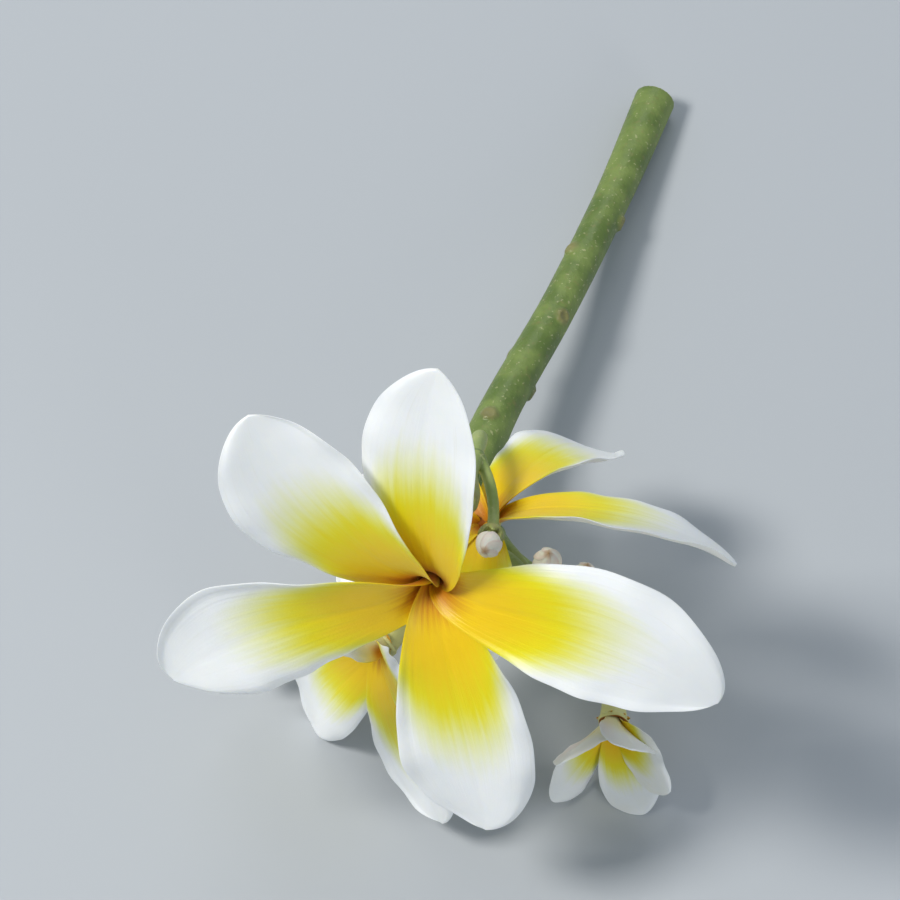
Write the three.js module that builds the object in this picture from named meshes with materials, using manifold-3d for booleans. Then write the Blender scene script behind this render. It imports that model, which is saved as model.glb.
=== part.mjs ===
// A picked cluster of plumeria flowers, lying on a table. Millimetres, +Z up, table top at z = 0.
//
// A stout stalk forks into short thick branches. Each branch carries pedicels, and each pedicel ends in a
// small five-toothed calyx that holds one flower or one bud. A flower is a slender tube that opens into
// five petals, set like the blades of a pinwheel. The cluster rests on the petals of its two lowest
// flowers and on the cut end of its stalk.

import * as THREE from 'three';
import { mergeVertices } from 'three/addons/utils/BufferGeometryUtils.js';
import Module from 'manifold-3d';

const wasm = await Module();
wasm.setup();

const { PI, sin, cos, exp, max, min } = Math;
const RAD = PI / 180;
const MERGE_DISTANCE = 1e-3; // vertices nearer than this are one

// ---------------------------------------------------------------------------------------------------
// Driving dimensions
// ---------------------------------------------------------------------------------------------------

// Places are drawn with the front flower's throat over the origin. The whole cluster then moves by
// this much, which brings the middle of its footprint there.
const CENTRE = [-2.8, -52.15, 0];

const TABLE_SIZE = 600;
const TABLE_DEPTH = 100;

// Petals. Shares run from 0 at the throat to 1 at the tip.
const PETALS = 5;
const PETAL_ROWS = 8;
const PETAL_COLUMNS = 6;
const RIB_STEPS = 10; // steps of the midrib for each row
const PETAL_THICK = 1.1;
const PETAL_EDGE_THICK = 0.75;
const BASE_WIDTH = 0.28; // share of the full width
const WIDEST_AT = 0.6;
const BLUNTNESS = 0.58; // lower is blunter
const TIP_CUT = 0.985; // the outline stops short of its vanishing point
const THROAT_RADIUS = 1.6;
const THROAT_RISE = 62 * RAD; // how steeply a petal leaves the tube
const THROAT_BEND = 0.1; // share of the length over which it turns outward
const THROAT_SINK = 2; // petals start this far down the tube
const TURN_BEND = 0.12; // share of the length over which a petal strays from its even place
const PINWHEEL_TILT = 18 * RAD; // one edge of each petal is lifted over its neighbour
const TILT_FADE = 1.5; // power with which the tilt dies away towards the tip
const TWIST_FULL = 0.8; // share of the length where a petal has its full twist
const CUP = 0.16; // how far the edges rise, as a share of the half width
const MARGIN_ROLL = 0.22; // how far the other edge turns under
const ROLL_START = 0.15;
const ROLL_FULL = 0.5;

// Corolla tube
const TUBE_SIDES = 10;
const TUBE_BASE_RADIUS = 1.6;
const TUBE_NECK_RADIUS = 1.75;
const TUBE_NECK_AT = 0.4; // share of the tube's length, from its top
const TUBE_TOP_RADIUS = 2.5;
const TUBE_TOP_DEPTH = 1.2;
const DIMPLE_RADIUS = 1.8;
const DIMPLE_RIM_DEPTH = 0.2;
const DIMPLE_DEPTH = 3.5;

// Calyx: the flat top of the pedicel, with five teeth round the base of the tube
const SEAT_GAP = 0.3;
const CALYX_RADIUS = 2.8;
const TOOTH_SIDES = 4;
const TOOTH_RADIUS = 0.75;
const TOOTH_HEIGHT = 2.2;
const TOOTH_SINK = 0.6;
const TOOTH_INSET = 0.05;

// Pedicels. Shares run from 0 at the root to 1 at the calyx.
const PEDICEL_SIDES = 7;
const PEDICEL_STEPS = 9;
const PEDICEL_RADIUS = 1.25;
const PEDICEL_ROOT_RADIUS = 1.8;
const ROOT_END = 0.2;
const CALYX_START = 0.8;
const CALYX_FULL = 0.97;
const PEDICEL_PULL = 0.4; // how far the curve keeps its first and last way, as a share of its span
const SMALL_PEDICEL = 0.75; // size of a small bud's pedicel and calyx

// Furled buds. Shares run from 0 at the top of the tube to 1 at the tip.
const LARGE_BUD = { petalSides: 3, rows: 9 }; // sides for each petal's ridge, and rows along the furl
const SMALL_BUD = { petalSides: 2, rows: 5 };
const SMALL_GIRTH = 3; // a bud slimmer than this is a small one
const BUD_NECK = 0.6; // widest neck, as a share of the girth
const BUD_TURN = 150 * RAD; // twist of the furl from its base to its tip
const BUD_RIDGE = 0.26; // height of each petal's edge, as a share of the girth
const BUD_RIDGE_MIDDLE = 0.33; // share of the ridge that lies inside the mean radius
const BUD_RIDGE_FULL = 0.3;
const BUD_SWELL_START = 0.08;
const BUD_SWELL_SPAN = 0.9;
const BUD_SWELL_POWER = 0.8; // lower is fuller near the neck
const BUD_TIP_RADIUS = 0.4;

// Stalk and branches
const HEAD = [4, 36, 18];
const STALK_PATH = [[38, 126, 2.8], [31, 106, 5.5], [21, 80, 10.5], [10, 55, 15], HEAD];
const STALK_RADII = [3.5, 3.1, 3.1, 3.3, 3.9];
const STALK_SIDES = 10;
const STALK_STEPS = 16;

// Short thick branches: each goes from the head to its end
const BRANCHES = [
  { end: [4.8, 39, 27], radius: 2.7 },
  { end: [5, 29.6, 18.8], radius: 2.5 },
  { end: [9.8, 32.4, 17.6], radius: 2.4 },
];
const BRANCH_SIDES = 8;
const BRANCH_STEPS = 3;
const BRANCH_SINK = 0.05; // each starts this share of its length behind the head

// Scars of fallen bracts and flowers, spiralling up the stalk
const SCARS = 9;
const SCAR_FIRST = 0.3; // shares of the stalk's length from its cut end
const SCAR_LAST = 0.96;
const SCAR_SIDES = 6;
const SCAR_RADIUS = 1.7;
const SCAR_TOP_RADIUS = 1.2;
const SCAR_HEIGHT = 0.8;
const SCAR_LEAN = -0.3; // they lean a little towards the flowers
const GOLDEN_ANGLE = 137.5 * RAD;

// Open flowers. throat: centre of the throat; face: the way the flower looks; roll: turn of the first
// petal about it, in degrees; lift: how far the petals close up from flat; recurve: how far their tips
// bend back. For each petal, turn and rise: how far it strays from its even place; bend: how far its tip
// curves aside; twist: how far it turns about its midrib; lengths and widths: its share of the full
// length and width. root: where the pedicel leaves its branch, and rootDir the way it leaves.
const FLOWERS = [
  {
    name: 'bloom_front', throat: [0, 0, 60], face: [-0.225, -0.92, 0.32], tube: 19,
    length: 47.5, width: 22, lift: 12, recurve: 16, roll: 66,
    turn: [25, -5, -15, 6, 12], rise: [-2, 2, -1, -2, -4],
    bend: [-4, -8, 14, -5, -19], twist: [4, -22, -5, -7, 9],
    lengths: [1.04, 0.96, 0.96, 0.96, 0.99], widths: [0.87, 1, 1.03, 0.93, 0.94],
    root: [4.6, 39, 24.7], rootDir: [0.33, 0.42, 0.84],
  },
  {
    name: 'bloom_right', throat: [8, 21.5, 42], face: [-0.19, 0.38, 0.9], tube: 16,
    length: 42, width: 17.5, lift: -4, recurve: 50, roll: -15,
    turn: [-1, 2, 0, 8, -13], rise: [6, -6, 0, 12, -9],
    bend: [0, 4, -3, 3, -4], twist: [20, -20, -2, -3, 6],
    lengths: [1, 0.93, 0.93, 0.62, 0.65], widths: [0.95, 1, 1, 0.9, 0.85],
    root: [5.2, 29.4, 18.7], rootDir: [0.4, -0.88, -0.2],
  },
  {
    name: 'bloom_left', throat: [-8.5, 7, 26], face: [-0.69, -0.72, -0.06], tube: 15,
    length: 29, width: 16, lift: 23, recurve: 19, roll: 41,
    turn: [-5, 8, 8, -5, -2], rise: [-2, 7, -1, 1, 0],
    bend: [4, -4, -6, 5, -4], twist: [0, -5, -3, -22, -2],
    lengths: [0.85, 0.92, 0.84, 1, 1.05], widths: [1, 1, 0.95, 0.85, 1],
    root: [4, 29.6, 19.7], rootDir: [-0.3, -0.87, 0.4],
  },
  {
    name: 'bloom_hanging', throat: [28.8, 2, 8.6], face: [-0.02, -0.99, 0.11], tube: 14,
    length: 15.8, width: 10, lift: 48, recurve: 0, roll: -72,
    turn: [5, 0, -2, -1, -2], rise: [-3, 7, 1, 2, -5],
    bend: [3, -4, 4, -3, 2], twist: [3, -2, 2, -3, 2],
    lengths: [1, 1, 1, 1, 1], widths: [1, 1, 1, 1, 1],
    root: [9.6, 32.6, 17.6], rootDir: [0.55, -0.74, -0.37],
  },
];

// Buds: seat, the way each points, the lengths of its tube and of its furled part, the radius of that,
// and its pedicel as above
const BUDS = [
  {
    name: 'bud_large_left', seat: [-7.3, 26.6, 14.7], face: [-0.85, -0.51, -0.16],
    tube: 9, furl: 20, girth: 3.8, root: [2.8, 34.9, 17.4], rootDir: [-0.75, -0.65, -0.12],
  },
  {
    name: 'bud_large_right', seat: [16.2, 22.3, 21.2], face: [0.65, -0.7, 0.29],
    tube: 8, furl: 18, girth: 3.6, root: [10, 32.4, 17.6], rootDir: [0.26, -0.74, 0.62],
  },
  {
    name: 'bud_small_top_1', seat: [9, 13.5, 50.5], face: [-0.1, -0.6, 0.6],
    tube: 2, furl: 6, girth: 1.9, root: [6.8, 29.5, 47.7], rootDir: [0.5, -0.8, 0.2],
  },
  {
    name: 'bud_small_top_2', seat: [17, 11.5, 42], face: [0.1, -0.1, 0.95],
    tube: 2, furl: 7, girth: 2.1, root: [5, 29.4, 18.8], rootDir: [0.75, -0.22, 0.63],
  },
  {
    name: 'bud_small_top_3', seat: [22, 9, 41], face: [0.2, 0, 0.9],
    tube: 2, furl: 7, girth: 2, root: [9.7, 32, 17.6], rootDir: [0.35, -0.57, 0.74],
  },
  {
    name: 'bud_small_back_1', seat: [-3.7, 48, 14.6], face: [-0.53, 0.56, -0.64],
    tube: 2, furl: 9, girth: 2.4, root: [2.5, 39.1, 22.3], rootDir: [-0.73, 0.57, 0.37],
  },
  {
    name: 'bud_small_back_2', seat: [-7.3, 42.6, 11.5], face: [-0.79, 0.34, -0.51],
    tube: 3, furl: 8, girth: 2.4, root: [2.9, 38.8, 18.6], rootDir: [-0.79, 0.29, -0.55],
  },
];

const COLOURS = { petal: 0xf6f2e2, bud: 0xf3e3d6, stalk: 0x8aa05c };

// ---------------------------------------------------------------------------------------------------
// Closed bodies
// ---------------------------------------------------------------------------------------------------

const vec = (point) => new THREE.Vector3(...point);
const smooth = (from, to, x) => THREE.MathUtils.smoothstep(x, from, to);

function makeSolid(positions, triangles) {
  return new wasm.Manifold(new wasm.Mesh({
    numProp: 3,
    vertProperties: new Float32Array(positions),
    triVerts: new Uint32Array(triangles),
  }));
}

// A closed geometry of three.js as a solid
function solidFrom(geometry) {
  const bare = geometry.clone();
  bare.deleteAttribute('normal');
  bare.deleteAttribute('uv');
  const merged = mergeVertices(bare, MERGE_DISTANCE);
  return makeSolid(merged.attributes.position.array, merged.index.array);
}

function geometryOf(solid) {
  const { vertProperties, triVerts } = solid.getMesh();
  const geometry = new THREE.BufferGeometry();
  geometry.setAttribute('position', new THREE.BufferAttribute(new Float32Array(vertProperties), 3));
  geometry.setIndex(new THREE.BufferAttribute(new Uint32Array(triVerts), 1));
  return geometry;
}

// The outer skin alone: hollows that fusing has sealed are filled, and loose scraps are dropped
function outerSkin(solid) {
  return solid.decompose().reduce((largest, piece) => (piece.volume() > largest.volume() ? piece : largest));
}

// A thin blade. point(u, v, side) is a point of its upper face for side 1 and its lower for side -1,
// with u from 0 to 1 and v from -1 to 1. Both faces are split along the same diagonals.
function blade(rows, columns, point) {
  const positions = [];
  const triangles = [];
  for (const side of [1, -1]) {
    for (let i = 0; i <= rows; i++) {
      for (let j = 0; j <= columns; j++) {
        positions.push(...point(i / rows, (2 * j) / columns - 1, side).toArray());
      }
    }
  }
  const under = (rows + 1) * (columns + 1);
  const at = (i, j) => i * (columns + 1) + j;
  const wall = (p, q) => triangles.push(p, q, q + under, p, q + under, p + under);
  for (let i = 0; i < rows; i++) {
    for (let j = 0; j < columns; j++) {
      const [a, b, c, d] = [at(i, j), at(i + 1, j), at(i + 1, j + 1), at(i, j + 1)];
      triangles.push(a, b, c, a, c, d);
      triangles.push(a + under, c + under, b + under, a + under, d + under, c + under);
    }
    wall(at(i + 1, 0), at(i, 0));
    wall(at(i, columns), at(i + 1, columns));
  }
  for (let j = 0; j < columns; j++) {
    wall(at(0, j), at(0, j + 1));
    wall(at(rows, j + 1), at(rows, j));
  }
  return makeSolid(positions, triangles);
}

// A body through rings of points, each ring turning round the way of travel, closed by a fan at each end
function loft(rings) {
  const sides = rings[0].length;
  const last = rings.length - 1;
  const middle = (ring) => ring.reduce((sum, p) => sum.add(p), new THREE.Vector3()).divideScalar(sides);
  const positions = [...rings.flat(), middle(rings[0]), middle(rings[last])].flatMap((p) => p.toArray());
  const startCentre = rings.length * sides;
  const endCentre = startCentre + 1;
  const triangles = [];
  for (let j = 0; j < sides; j++) {
    const next = (j + 1) % sides;
    for (let i = 0; i < last; i++) {
      const a = i * sides + j;
      const b = i * sides + next;
      triangles.push(a, b, b + sides, a, b + sides, a + sides);
    }
    triangles.push(startCentre, next, j, endCentre, last * sides + j, last * sides + next);
  }
  return makeSolid(positions, triangles);
}

// A stem along a curve, with its radius as a function of the share of its length
function stem(curve, steps, sides, radiusAt) {
  const frames = curve.computeFrenetFrames(steps, false);
  const rings = [];
  for (let i = 0; i <= steps; i++) {
    const centre = curve.getPointAt(i / steps);
    const ring = [];
    for (let j = 0; j < sides; j++) {
      const angle = (2 * PI * j) / sides;
      const out = frames.normals[i].clone().multiplyScalar(cos(angle));
      out.addScaledVector(frames.binormals[i], sin(angle));
      ring.push(centre.clone().addScaledVector(out, radiusAt(i / steps)));
    }
    rings.push(ring);
  }
  return loft(rings);
}

// Axes of a flower or bud: z the way it faces, x as level and as far to the right as that allows
function facing(face, origin) {
  const z = vec(face).normalize();
  const x = new THREE.Vector3(1, 0, 0).addScaledVector(z, -z.x).normalize();
  const y = z.clone().cross(x);
  return new THREE.Matrix4().makeBasis(x, y, z).setPosition(origin);
}

// ---------------------------------------------------------------------------------------------------
// Flowers: five petals and a tube, grown together
// ---------------------------------------------------------------------------------------------------

// Half the width of a petal at a share of its length, as a share of its greatest half width
function petalWidth(u) {
  const power = Math.log(0.5) / Math.log(WIDEST_AT);
  const lobe = max(0, sin(PI * (TIP_CUT * u) ** power)) ** BLUNTNESS;
  const base = BASE_WIDTH * (1 - u) ** 3;
  return base + (1 - base) * lobe;
}

// The midrib, as points out from the axis and along it, in even steps of its length
function midrib(length, lift, recurve, steps) {
  const points = [[THROAT_RADIUS, -THROAT_SINK]];
  for (let i = 0; i < steps; i++) {
    const u = (i + 0.5) / steps;
    const slope = lift + THROAT_RISE * exp(-u / THROAT_BEND) - recurve * u * u;
    const [out, along] = points[i];
    points.push([out + (cos(slope) * length) / steps, along + (sin(slope) * length) / steps]);
  }
  return points;
}

function petal(flower, k) {
  const steps = PETAL_ROWS * RIB_STEPS;
  const length = flower.length * flower.lengths[k];
  const rib = midrib(length, (flower.lift + flower.rise[k]) * RAD, flower.recurve * RAD, steps);
  const evenPlace = flower.roll + (360 * k) / PETALS;
  const ribPoint = (step) => {
    const u = step / steps;
    const strayed = flower.turn[k] * (1 - exp(-u / TURN_BEND)) + flower.bend[k] * u * u;
    const angle = (evenPlace + strayed) * RAD;
    return new THREE.Vector3(rib[step][0] * cos(angle), rib[step][0] * sin(angle), rib[step][1]);
  };
  return blade(PETAL_ROWS, PETAL_COLUMNS, (u, v, side) => {
    const step = Math.round(u * steps);
    const centre = ribPoint(step);
    const along = ribPoint(min(step + 1, steps)).sub(ribPoint(max(step - 1, 0))).normalize();
    const across = new THREE.Vector3(0, 0, 1).cross(along).normalize();
    const out = along.clone().cross(across);
    const tilt = PINWHEEL_TILT * (1 - u) ** TILT_FADE + flower.twist[k] * RAD * smooth(0, TWIST_FULL, u);
    const wide = across.clone().multiplyScalar(cos(tilt)).addScaledVector(out, -sin(tilt));
    const thick = out.clone().multiplyScalar(cos(tilt)).addScaledVector(across, sin(tilt));
    const half = (flower.width / 2) * flower.widths[k] * petalWidth(u);
    const rolled = v > 0 ? MARGIN_ROLL * v ** 4 * smooth(ROLL_START, ROLL_FULL, u) : 0;
    const height = half * (CUP * v * v - rolled);
    const thickness = PETAL_EDGE_THICK + (PETAL_THICK - PETAL_EDGE_THICK) * (1 - v * v);
    return centre.addScaledVector(wide, half * v).addScaledVector(thick, height + (side * thickness) / 2);
  });
}

// The slender tube below the petals, with a dimple where they meet
function corollaTube(length) {
  const profile = [
    [0, -length],
    [TUBE_BASE_RADIUS, -length],
    [TUBE_NECK_RADIUS, -TUBE_NECK_AT * length],
    [TUBE_TOP_RADIUS, -TUBE_TOP_DEPTH],
    [DIMPLE_RADIUS, -DIMPLE_RIM_DEPTH],
    [0, -DIMPLE_DEPTH],
  ].map(([r, z]) => new THREE.Vector2(r, z));
  return solidFrom(new THREE.LatheGeometry(profile, TUBE_SIDES).rotateX(PI / 2));
}

function bloom(flower) {
  let corolla = corollaTube(flower.tube);
  for (let k = 0; k < PETALS; k++) {
    corolla = corolla.add(petal(flower, k));
  }
  return corolla.transform(facing(flower.face, vec(flower.throat)).toArray());
}

// ---------------------------------------------------------------------------------------------------
// Buds: the five petals furled in a spiral spindle on the closed tube
// ---------------------------------------------------------------------------------------------------

function furledBud(bud) {
  const { petalSides, rows } = bud.girth < SMALL_GIRTH ? SMALL_BUD : LARGE_BUD;
  const sides = petalSides * PETALS;
  const neck = min(TUBE_BASE_RADIUS, bud.girth * BUD_NECK);
  const rings = [];
  const addRing = (height, radius, ridge, turn) => {
    const ring = [];
    for (let j = 0; j < sides; j++) {
      const angle = (2 * PI * j) / sides + turn;
      const r = radius * (1 + ridge * ((j % petalSides) / petalSides - BUD_RIDGE_MIDDLE));
      ring.push(new THREE.Vector3(r * cos(angle), r * sin(angle), height));
    }
    rings.push(ring);
  };
  addRing(0, neck, 0, 0);
  for (let i = 0; i <= rows; i++) {
    const u = i / rows;
    const swell = sin(PI * (BUD_SWELL_START + BUD_SWELL_SPAN * u) ** BUD_SWELL_POWER) ** BUD_SWELL_POWER;
    const radius = max(neck * (1 - u), bud.girth * swell, BUD_TIP_RADIUS);
    addRing(bud.tube + bud.furl * u, radius, BUD_RIDGE * smooth(0, BUD_RIDGE_FULL, u), BUD_TURN * u);
  }
  return loft(rings).transform(facing(bud.face, vec(bud.seat)).toArray());
}

// ---------------------------------------------------------------------------------------------------
// Stalk, branches, pedicels and calyces, grown as one piece
// ---------------------------------------------------------------------------------------------------

// A pedicel from its root to the seat of a flower or bud, where it widens into the calyx
function pedicel(seat, face, root, rootDir, size) {
  const way = vec(face).normalize();
  const end = vec(seat).addScaledVector(way, -SEAT_GAP);
  const pull = vec(root).distanceTo(end) * PEDICEL_PULL;
  const curve = new THREE.CubicBezierCurve3(
    vec(root),
    vec(root).addScaledVector(vec(rootDir).normalize(), pull),
    end.clone().addScaledVector(way, -pull),
    end,
  );
  const radiusAt = (s) => size * (PEDICEL_RADIUS
    + (PEDICEL_ROOT_RADIUS - PEDICEL_RADIUS) * (1 - smooth(0, ROOT_END, s))
    + (CALYX_RADIUS - PEDICEL_RADIUS) * smooth(CALYX_START, CALYX_FULL, s));
  let body = stem(curve, PEDICEL_STEPS, PEDICEL_SIDES, radiusAt);
  for (let k = 0; k < PETALS; k++) {
    const tooth = new THREE.ConeGeometry(TOOTH_RADIUS * size, TOOTH_HEIGHT * size, TOOTH_SIDES);
    tooth.rotateX(PI / 2);
    tooth.translate((CALYX_RADIUS - TOOTH_INSET) * size, 0, (TOOTH_HEIGHT / 2 - TOOTH_SINK) * size);
    tooth.rotateZ((2 * PI * k) / PETALS);
    tooth.applyMatrix4(facing(face, end));
    body = body.add(solidFrom(tooth));
  }
  return body;
}

function branch({ end, radius }) {
  const way = vec(end).sub(vec(HEAD));
  const line = new THREE.LineCurve3(vec(HEAD).addScaledVector(way, -BRANCH_SINK), vec(end));
  return stem(line, BRANCH_STEPS, BRANCH_SIDES, () => radius);
}

// A low round knob on the stalk, at a share of its length and an angle round it
function scar(path, share, stalkRadius, angle) {
  const knob = new THREE.CylinderGeometry(SCAR_TOP_RADIUS, SCAR_RADIUS, SCAR_HEIGHT * 2, SCAR_SIDES);
  knob.rotateX(PI / 2);
  knob.translate(0, 0, stalkRadius);
  knob.applyMatrix4(facing([cos(angle), SCAR_LEAN, sin(angle)], path.getPointAt(share)));
  return solidFrom(knob);
}

function flowerStalk() {
  const path = new THREE.CatmullRomCurve3(STALK_PATH.map(vec));
  const radiusAt = (s) => {
    const place = s * (STALK_RADII.length - 1);
    const i = min(Math.floor(place), STALK_RADII.length - 2);
    return THREE.MathUtils.lerp(STALK_RADII[i], STALK_RADII[i + 1], place - i);
  };
  let body = stem(path, STALK_STEPS, STALK_SIDES, radiusAt);
  for (const limb of BRANCHES) {
    body = body.add(branch(limb));
  }
  for (let k = 0; k < SCARS; k++) {
    const share = THREE.MathUtils.lerp(SCAR_FIRST, SCAR_LAST, k / (SCARS - 1));
    body = body.add(scar(path, share, radiusAt(share), k * GOLDEN_ANGLE));
  }
  for (const flower of FLOWERS) {
    const seat = vec(flower.throat).addScaledVector(vec(flower.face).normalize(), -flower.tube).toArray();
    body = body.add(pedicel(seat, flower.face, flower.root, flower.rootDir, 1));
  }
  for (const bud of BUDS) {
    const size = bud.girth < SMALL_GIRTH ? SMALL_PEDICEL : 1;
    body = body.add(pedicel(bud.seat, bud.face, bud.root, bud.rootDir, size));
  }
  return body;
}

// ---------------------------------------------------------------------------------------------------
// The cluster
// ---------------------------------------------------------------------------------------------------

const cluster = new THREE.Group();
cluster.position.set(...CENTRE);

const tableTop = new THREE.BoxGeometry(TABLE_SIZE, TABLE_SIZE, TABLE_DEPTH);
tableTop.translate(0, 0, -TABLE_DEPTH / 2);
const table = solidFrom(tableTop);

// What presses on the table gets a small flat spot there
function addNode(name, solid, colour) {
  const rested = geometryOf(outerSkin(solid.subtract(table)));
  const geometry = geometryOf(outerSkin(solidFrom(rested)));
  geometry.computeVertexNormals();
  const material = new THREE.MeshStandardMaterial({ color: colour, roughness: 0.5, metalness: 0 });
  const mesh = new THREE.Mesh(geometry, material);
  mesh.name = name;
  cluster.add(mesh);
}

addNode('flower_stalk', flowerStalk(), COLOURS.stalk);
for (const flower of FLOWERS) {
  addNode(flower.name, bloom(flower), COLOURS.petal);
}
for (const bud of BUDS) {
  addNode(bud.name, furledBud(bud), COLOURS.bud);
}

export default cluster;
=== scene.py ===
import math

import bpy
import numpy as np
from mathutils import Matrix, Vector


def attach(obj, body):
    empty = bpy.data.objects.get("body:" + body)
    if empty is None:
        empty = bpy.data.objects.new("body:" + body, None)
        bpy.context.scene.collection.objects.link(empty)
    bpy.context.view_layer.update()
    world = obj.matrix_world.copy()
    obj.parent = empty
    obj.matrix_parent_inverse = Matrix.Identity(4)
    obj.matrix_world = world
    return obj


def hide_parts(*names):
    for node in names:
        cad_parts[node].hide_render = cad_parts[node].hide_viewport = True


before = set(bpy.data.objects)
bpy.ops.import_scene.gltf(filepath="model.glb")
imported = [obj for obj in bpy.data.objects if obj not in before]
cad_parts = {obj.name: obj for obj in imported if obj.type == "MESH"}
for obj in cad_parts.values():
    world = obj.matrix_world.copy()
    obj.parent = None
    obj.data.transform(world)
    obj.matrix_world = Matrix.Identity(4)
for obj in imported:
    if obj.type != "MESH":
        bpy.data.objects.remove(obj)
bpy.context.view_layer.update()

# A picked cluster of plumeria flowers: four open blooms and seven furled buds on a forked green stalk,
# lying on a table. Sizes are in millimetres and angles in degrees, in the axes of the CAD part, until
# build() makes a mesh in metres. Each bloom, each bud and the stalk is one fine piece that stands for
# its CAD node and keeps its form.

MM = 0.001
X = np.array([1.0, 0.0, 0.0])
Z = np.array([0.0, 0.0, 1.0])

# -----------------------------------------------------------------------------------------------------
# Driving dimensions, as in the CAD part
# -----------------------------------------------------------------------------------------------------

# Places are drawn with the front flower's throat over the origin, and then moved by this much
CENTRE = np.array([-2.8, -52.15, 0])

# Petals. Shares run from 0 at the throat to 1 at the tip.
PETALS = 5
BASE_WIDTH = 0.28
WIDEST_AT = 0.6
BLUNTNESS = 0.58
THROAT_RADIUS = 1.6
THROAT_RISE = 62
THROAT_BEND = 0.1
THROAT_SINK = 2
TURN_BEND = 0.12
PINWHEEL_TILT = 18
TILT_FADE = 1.5
TWIST_FULL = 0.8
CUP = 0.16
MARGIN_ROLL = 0.22
ROLL_START = 0.15
ROLL_FULL = 0.5

# Corolla tube
TUBE_BASE_RADIUS = 1.6
TUBE_NECK_RADIUS = 1.75
TUBE_TOP_RADIUS = 2.5
DIMPLE_DEPTH = 3.5

# Calyx and pedicel
SEAT_GAP = 0.3
CALYX_RADIUS = 2.8
PEDICEL_RADIUS = 1.25
PEDICEL_ROOT_RADIUS = 1.8
ROOT_END = 0.2
CALYX_START = 0.8
CALYX_FULL = 0.97
PEDICEL_PULL = 0.4
SMALL_PEDICEL = 0.75

# Furled buds
SMALL_GIRTH = 3
BUD_NECK = 0.6
BUD_TURN = 150
BUD_RIDGE_FULL = 0.3
BUD_SWELL_START = 0.08
BUD_SWELL_SPAN = 0.9
BUD_SWELL_POWER = 0.8

# Stalk and branches
HEAD = (4, 36, 18)
STALK_PATH = [(38, 126, 2.8), (31, 106, 5.5), (21, 80, 10.5), (10, 55, 15), HEAD]
STALK_RADII = [3.5, 3.1, 3.1, 3.3, 3.9]
BRANCHES = [((4.8, 39, 27), 2.7), ((5, 29.6, 18.8), 2.5), ((9.8, 32.4, 17.6), 2.4)]
BRANCH_SINK = 0.05
SCARS = 9
SCAR_FIRST = 0.3
SCAR_LAST = 0.96
SCAR_LEAN = -0.3
GOLDEN_ANGLE = 137.5

# Open flowers. throat: centre of the throat; face: the way the flower looks; roll: turn of the first
# petal about it; lift: how far the petals close up from flat; recurve: how far their tips bend back. For
# each petal, turn and rise: how far it strays from its even place; bend: how far its tip curves aside;
# twist: how far it turns about its midrib; lengths and widths: its share of the full length and width.
# root: where the pedicel leaves its branch, and root_way the way it leaves.
FLOWERS = [
    dict(name="bloom_front", throat=(0, 0, 60), face=(-0.225, -0.92, 0.32), tube=19,
         length=47.5, width=22, lift=12, recurve=16, roll=66,
         turn=(25, -5, -15, 6, 12), rise=(-2, 2, -1, -2, -4),
         bend=(-4, -8, 14, -5, -19), twist=(4, -22, -5, -7, 9),
         lengths=(1.04, 0.96, 0.96, 0.96, 0.99), widths=(0.87, 1, 1.03, 0.93, 0.94),
         root=(4.6, 39, 24.7), root_way=(0.33, 0.42, 0.84)),
    dict(name="bloom_right", throat=(8, 21.5, 42), face=(-0.19, 0.38, 0.9), tube=16,
         length=42, width=17.5, lift=-4, recurve=50, roll=-15,
         turn=(-1, 2, 0, 8, -13), rise=(6, -6, 0, 12, -9),
         bend=(0, 4, -3, 3, -4), twist=(20, -20, -2, -3, 6),
         lengths=(1, 0.93, 0.93, 0.62, 0.65), widths=(0.95, 1, 1, 0.9, 0.85),
         root=(5.2, 29.4, 18.7), root_way=(0.4, -0.88, -0.2)),
    dict(name="bloom_left", throat=(-8.5, 7, 26), face=(-0.69, -0.72, -0.06), tube=15,
         length=29, width=16, lift=23, recurve=19, roll=41,
         turn=(-5, 8, 8, -5, -2), rise=(-2, 7, -1, 1, 0),
         bend=(4, -4, -6, 5, -4), twist=(0, -5, -3, -22, -2),
         lengths=(0.85, 0.92, 0.84, 1, 1.05), widths=(1, 1, 0.95, 0.85, 1),
         root=(4, 29.6, 19.7), root_way=(-0.3, -0.87, 0.4)),
    dict(name="bloom_hanging", throat=(28.8, 2, 8.6), face=(-0.02, -0.99, 0.11), tube=14,
         length=15.8, width=10, lift=48, recurve=0, roll=-72,
         turn=(5, 0, -2, -1, -2), rise=(-3, 7, 1, 2, -5),
         bend=(3, -4, 4, -3, 2), twist=(3, -2, 2, -3, 2),
         lengths=(1, 1, 1, 1, 1), widths=(1, 1, 1, 1, 1),
         root=(9.6, 32.6, 17.6), root_way=(0.55, -0.74, -0.37)),
]

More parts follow.
